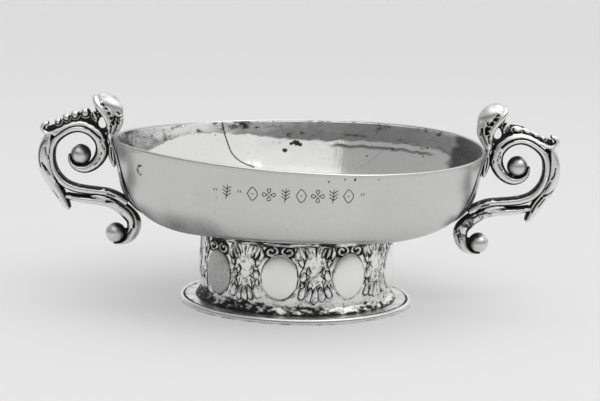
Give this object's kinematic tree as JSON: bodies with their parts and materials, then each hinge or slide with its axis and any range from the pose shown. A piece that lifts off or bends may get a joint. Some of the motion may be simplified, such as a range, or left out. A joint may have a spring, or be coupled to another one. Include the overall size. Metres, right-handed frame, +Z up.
{
  "type": "collection cup",
  "caption": "Shallow two-handled silver cup on a chased drum foot, with cast scroll handles that carry small hooded busts and beaded crests.",
  "frame": {"origin": "centre of the base's underside, on the surface that the cup stands on", "axes": "+Z up, +X along the line through the two handles, -Y the front with the engraved device"},
  "size_m": [0.2112, 0.15, 0.0831],
  "materials": {
    "bowl_silver": "hand-raised silver with a soft satin polish and faint hammer and wear marks",
    "foot_silver": "polished silver, stained dark where the solder ran",
    "chased_silver": "chased silver with dark tarnish in its recesses and plain burnished ovals",
    "cast_silver": "cast and chased silver, bright on its ribs and dark in its grooves",
    "polished_balls": "burnished silver"
  },
  "bodies": {
    "root": {"bowl": "bowl_silver", "drum_collar": "foot_silver", "foot_drum": "chased_silver", "foot_flange": "foot_silver", "foot_border_wire": "foot_silver", "handle_right_strap": "cast_silver", "handle_right_scroll": "cast_silver", "handle_right_leaf": "cast_silver", "handle_right_tail_scroll": "cast_silver", "handle_right_bust": "cast_silver", "handle_right_beaded_crest": "cast_silver", "handle_right_volute_ball": "polished_balls", "handle_right_tail_ball": "polished_balls", "handle_left_strap": "cast_silver", "handle_left_scroll": "cast_silver", "handle_left_leaf": "cast_silver", "handle_left_tail_scroll": "cast_silver", "handle_left_bust": "cast_silver", "handle_left_beaded_crest": "cast_silver", "handle_left_volute_ball": "polished_balls", "handle_left_tail_ball": "polished_balls"}
  },
  "joints": []
}
